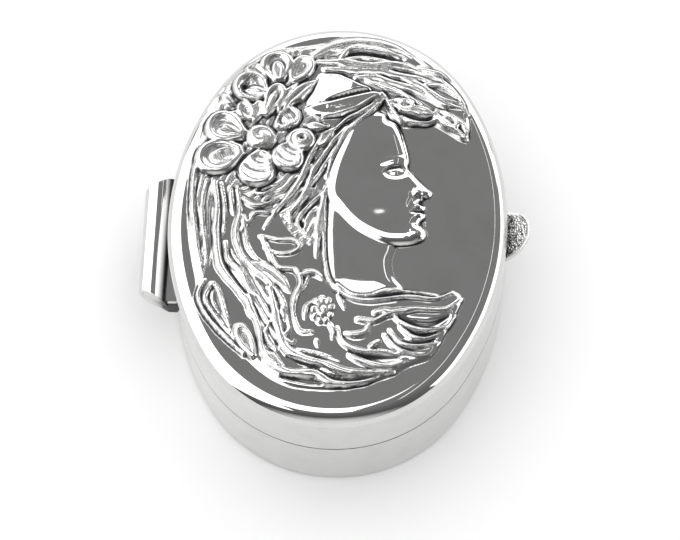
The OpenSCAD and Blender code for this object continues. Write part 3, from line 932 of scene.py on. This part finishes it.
# %% [markdown]
# The sheet itself starts as a square grid. Its rings are bent to the box's oval, which is four
# arcs: the outermost rings go round the shoulder, a quarter of a circle in section, and the rest
# lie on the field. Rings that run with the edge keep the shoulder's highlight smooth, where a
# plain grid cut to the outline would leave steps in it.

# %% The oval of the box
END_R, END_Y, SIDE_R, SIDE_X = 12.4, 5.6, 23.0, 9.0
JOIN_ANGLE = math.atan2(END_Y, SIDE_X)
SIDE_ARC = SIDE_R * JOIN_ANGLE
QUARTER = SIDE_ARC + END_R * (math.pi / 2 - JOIN_ANGLE)


def oval_point(share, inset):
    """A point of the first quarter of the oval, by its share of the way from +X to +Y."""
    way = share * QUARTER
    angle = np.where(way < SIDE_ARC, way / SIDE_R, JOIN_ANGLE + (way - SIDE_ARC) / END_R)
    on_side = way < SIDE_ARC
    radius = np.where(on_side, SIDE_R, END_R) - inset
    x = radius * np.cos(angle) - np.where(on_side, SIDE_X, 0)
    y = radius * np.sin(angle) + np.where(on_side, 0, END_Y)
    return x, y


print("a quarter of the oval is", round(QUARTER, 2), "mm long")

# %% The two skins of the sheet
SHOULDER_R = 1.3
FIELD_EDGE_Z = 12.78
FIELD_CROWN = 0.16
SHEET_T = 0.5
FIELD_SHARE = 0.87    # how far out the field reaches on the square grid
CORNER_SHARE = 0.557  # where the square's corner comes to lie on a quarter of the oval
LONG_WAVE, SHORT_WAVE = 0.02, 0.014


def lift_of(x, y, table):
    """Reads a map between its cells."""
    column = (x - MAP_X[0]) / CELL
    row = (y - MAP_Y[0]) / CELL
    c, r = column.astype(int), row.astype(int)
    u, v = column - c, row - r
    low = table[r, c] * (1 - u) + table[r, c + 1] * u
    high = table[r + 1, c] * (1 - u) + table[r + 1, c + 1] * u
    return low * (1 - v) + high * v


def nearest_of(x, y, table):
    """Reads a map at the nearest cell, for counts that may not be mixed."""
    return table[np.rint((y - MAP_Y[0]) / CELL).astype(int), np.rint((x - MAP_X[0]) / CELL).astype(int)]


def sheet_skin(bm, columns, rows, depth, table):
    """One skin of the sheet, at a depth below its outer face, bent to the oval and lifted by a map.
    Gives its points, their places in plan, and how much of the lift each one gets."""
    made = bmesh.ops.create_grid(bm, x_segments=columns, y_segments=rows, size=1)
    verts = made["verts"]
    u = np.array([v.co.x for v in verts])
    v = np.array([v.co.y for v in verts])
    ring = np.maximum(np.abs(u), np.abs(v))
    steep = np.minimum(np.abs(u), np.abs(v)) / np.maximum(ring, 1e-9)
    on_side = np.abs(u) >= np.abs(v)
    share = np.where(on_side, CORNER_SHARE * steep, 1 - (1 - CORNER_SHARE) * steep)
    turn = np.clip((ring - FIELD_SHARE) / (1 - FIELD_SHARE), 0, 1) * math.pi / 2
    bend = SHOULDER_R - depth
    inset = depth + bend * (1 - np.sin(turn))
    x, y = oval_point(share, inset)
    inward = np.minimum(ring / FIELD_SHARE, 1)
    x, y = x * inward * np.sign(u), y * inward * np.sign(v)
    round_it = np.arctan2(y, x)
    wave = LONG_WAVE * np.sin(5 * round_it + 0.7) + SHORT_WAVE * np.sin(11 * round_it)
    level = FIELD_EDGE_Z - depth - bend * (1 - np.cos(turn)) + FIELD_CROWN * (1 - inward**2)
    fade = np.cos(turn) ** 2
    lifted = level + fade * (lift_of(x, y, table) + wave * inward**4)
    for vert, px, py, pz in zip(verts, x, y, lifted):
        vert.co = (px * MM, py * MM, pz * MM)
    return verts, x, y, fade


OUTER_GRID = (276, 332)
INNER_GRID = (60, 76)
BACK_BLUR = 0.25


def make_struck_lid():
    bm = bmesh.new()
    dark, dull, count = [bm.verts.layers.float.new(name) for name in ("recess", "worked", "grooves")]
    outer, x, y, fade = sheet_skin(bm, *OUTER_GRID, 0.0, relief)
    maps = (lift_of(x, y, recess) * fade, lift_of(x, y, worked) * fade, nearest_of(x, y, grooves))
    for layer, values in zip((dark, dull, count), maps):
        for vert, value in zip(outer, values):
            vert[layer] = value
    inner, *_ = sheet_skin(bm, *INNER_GRID, SHEET_T, blurred(relief, BACK_BLUR))
    for vert in inner:
        vert[count] = 0.5
    inner_set = set(inner)
    inner_faces = [f for f in bm.faces if f.verts[0] in inner_set]
    bmesh.ops.reverse_faces(bm, faces=inner_faces)
    rims = [e for e in bm.edges if e.is_boundary]
    bmesh.ops.bridge_loops(bm, edges=rims)
    bmesh.ops.triangulate(bm, faces=[f for f in bm.faces if len(f.verts) > 4])
    open_edges = sum(e.is_boundary for e in bm.edges)
    print("struck lid: open edges", open_edges, "triangles", sum(len(f.verts) - 2 for f in bm.faces))
    return new_object("struck_lid", mesh_from(bm, "struck lid"))


struck_lid = make_struck_lid()

# %% [markdown]
# The struck sheet stands for the engineer's plain lid panel, and so it turns with the lid.

# %% The lid takes its place
struck_lid.data.materials.append(struck_silver)
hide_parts("lid_panel")
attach(struck_lid, "lid")
print("the struck lid replaces lid_panel")

# %% [markdown]
# ## Softened edges
#
# The engineer's parts end in perfect corners, and no hand-made box has one: every edge is eased
# with a stick of stone, and that is where silver shows its thin bright lines. The loose triangles
# of each part are copied, merged to a closed shell and dissolved to clean faces, and then every
# sharp edge is bevelled. The part itself stays as it is, hidden, and the copy stands for it.

# %% Softened copies of the engineer's parts
SHARP_ANGLE = math.radians(28)
FLAT_ANGLE = math.radians(0.4)
MERGE_DISTANCE = 0.002 * MM
EDGE_SEGMENTS = 3


def softened(name, edge, body, finish, darkening=None, ring_z=None):
    """A copy of an engineer's part with its corners eased by edge, in millimetres. Where the
    darkening function says 1 for a place, the metal is painted dark, and where it says 0 it is
    bright. A ring of points cut at ring_z keeps the dark from running down a tall face."""
    bm = bmesh.new()
    bm.from_mesh(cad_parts[name].data)
    bmesh.ops.remove_doubles(bm, verts=bm.verts, dist=MERGE_DISTANCE)
    bmesh.ops.dissolve_limit(
        bm, angle_limit=FLAT_ANGLE, use_dissolve_boundaries=False, verts=bm.verts, edges=bm.edges,
        delimit={"NORMAL"},
    )
    corners = [e for e in bm.edges if e.is_manifold and e.calc_face_angle() > SHARP_ANGLE]
    bmesh.ops.bevel(
        bm, geom=corners, offset=edge * MM, offset_type="OFFSET", segments=EDGE_SEGMENTS, profile=0.5,
        affect="EDGES", material=-1, clamp_overlap=True, loop_slide=False,
    )
    if ring_z:
        everything = [*bm.verts, *bm.edges, *bm.faces]
        bmesh.ops.bisect_plane(bm, geom=everything, plane_co=(0, 0, ring_z * MM), plane_no=(0, 0, 1))
    # Painted dark for each point: shade on the hinge beside the wall, and a darker band at the seam.
    darkness = bm.verts.layers.float.new("recess")
    for vert in bm.verts:
        vert[darkness] = darkening(*(vert.co / MM)) if darkening else 0
    print(name, "corners eased:", len(corners), "open edges:", sum(e.is_boundary for e in bm.edges))
    piece = new_object(name + "_eased", mesh_from(bm, name + " eased"))
    piece.data.materials.append(finish)
    weighting = piece.modifiers.new("flats stay flat", "WEIGHTED_NORMAL")
    weighting.keep_sharp = True
    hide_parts(name)
    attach(piece, body)
    return piece


# %% Where the metal is painted dark
SEAM_Z = 6.84
SEAM_REACH = 0.07
SEAM_DARKNESS = 0.6
RING_OFF_SEAM = 0.085


def in_the_seam(x, y, z):
    """The metal is darker in a thin band where the lid meets the base."""
    return SEAM_DARKNESS if abs(z - SEAM_Z) < SEAM_REACH else 0.0


COVER_INNER_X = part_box("hinge_cover")[1].x / MM
# The hinge beside the wall is painted dark: painted shade where the crevice against the wall is dark.
SHADE_REACH = 0.85
SHADE_AT_WALL = 1.15


def beside_the_wall(x, y, z):
    """Painted shade on the hinge, fully dark for a little way out from the wall."""
    return min(1.0, max(0.0, SHADE_AT_WALL - (COVER_INNER_X - x) / SHADE_REACH))


print("the hinge is darkest at x =", round(COVER_INNER_X, 2), "mm")

# %% The seven parts with eased edges
WALL_EDGE, HINGE_EDGE = 0.05, 0.10
LOW_RING, HIGH_RING = SEAM_Z - RING_OFF_SEAM, SEAM_Z + RING_OFF_SEAM

softened("base_wall", WALL_EDGE, "base", polished_silver, in_the_seam, LOW_RING)
softened("lid_wall", WALL_EDGE, "lid", polished_silver, in_the_seam, HIGH_RING)
softened("hinge_cover", HINGE_EDGE, "lid", polished_silver, beside_the_wall)
for knuckle in ("lid_knuckle_front", "lid_knuckle_back"):
    softened(knuckle, HINGE_EDGE, "lid", filed_silver, beside_the_wall)
softened("inner_bezel", WALL_EDGE, "base", satin_silver)
softened("base_hinge_leaf", WALL_EDGE, "base", polished_silver, beside_the_wall)

# %% [markdown]
# ## The grained thumbpiece
#
# The thumbpiece is a small tongue of thick sheet. Its face is covered with punch marks, so that a
# wet thumb doesn't slip, and its rim is left smooth. Bump would fade at the outline and catch no
# real shadow, so the marks are geometry: the part's copy is remeshed to small even faces, and
# each point of the face is moved by a pattern of cells, one cell to each grain.

# %% Thumbpiece
FACE_GRID = 0.045
GRAIN_SIZE = 0.21
GRAIN_HEIGHT = 0.07
GRAIN_FLANK = 0.45
GRAIN_BED = 0.75
SWELLING_SIZE, SWELLING_SHARE = 1.7 * GRAIN_SIZE, 0.5
# The hollows between the grains are painted dark: painted shade, with patina in the punch marks.
MARK_DARKNESS, MARK_FADE = 0.85, 1.3
RIM_WIDTH = 0.22
RIM_SLOPE = 0.08
SMOOTHINGS = 3
THUMB_RADIUS = 2.1
THUMB_TILT = math.radians(36)
FACE_UP = Vector((-math.sin(THUMB_TILT), 0, math.cos(THUMB_TILT)))


def evenly_meshed(name, grid):
    """A copy of an engineer's part, in millimetres, with small even faces."""
    bm = bmesh.new()
    bm.from_mesh(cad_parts[name].data)
    bmesh.ops.remove_doubles(bm, verts=bm.verts, dist=MERGE_DISTANCE)
    bmesh.ops.scale(bm, vec=(1 / MM, 1 / MM, 1 / MM), verts=bm.verts)
    blank = new_object(name + " blank", mesh_from(bm, name + " blank"))
    remesh = blank.modifiers.new("even faces", "REMESH")
    remesh.mode = "VOXEL"
    remesh.voxel_size = grid
    finished = bmesh.new()
    finished.from_object(blank, bpy.context.evaluated_depsgraph_get())
    bpy.data.objects.remove(blank)
    return finished


def make_thumbpiece():
    """The tongue with its marks: grain is 0 between two grains and 1 on top of one."""
    bm = evenly_meshed("thumbpiece", FACE_GRID)
    for _ in range(SMOOTHINGS):
        bmesh.ops.smooth_vert(
            bm, verts=bm.verts, factor=0.5, use_axis_x=True, use_axis_y=True, use_axis_z=True
        )
    darkness = bm.verts.layers.float.new("recess")
    middle = max(v.co.x for v in bm.verts) - THUMB_RADIUS
    bm.normal_update()
    moves = []
    for vert in bm.verts:
        from_rim = THUMB_RADIUS - math.hypot(vert.co.x - middle, vert.co.y)
        looks_up = vert.normal.dot(FACE_UP) > 0.7
        punched = min(1.0, max(0.0, (from_rim - RIM_WIDTH) / RIM_SLOPE)) if looks_up else 0.0
        distances, _ = noise.voronoi(vert.co / GRAIN_SIZE)
        grain = min(1.0, (distances[1] - distances[0]) / GRAIN_FLANK)
        swelling = noise.noise(vert.co / SWELLING_SIZE)
        moves.append(punched * GRAIN_HEIGHT * (grain - GRAIN_BED + SWELLING_SHARE * swelling))
        # Painted shade and patina, darkest between the grains and gone on their tops.
        vert[darkness] = punched * max(0.0, MARK_DARKNESS - grain * MARK_FADE)
    for vert, move in zip(list(bm.verts), moves):
        vert.co += move * FACE_UP
    bmesh.ops.scale(bm, vec=(MM, MM, MM), verts=bm.verts)
    print("thumbpiece: open edges", sum(e.is_boundary for e in bm.edges))
    return new_object("grained_thumbpiece", mesh_from(bm, "grained thumbpiece"))


thumbpiece = make_thumbpiece()
thumbpiece.data.materials.append(grained_silver)
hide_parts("thumbpiece")
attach(thumbpiece, "lid")
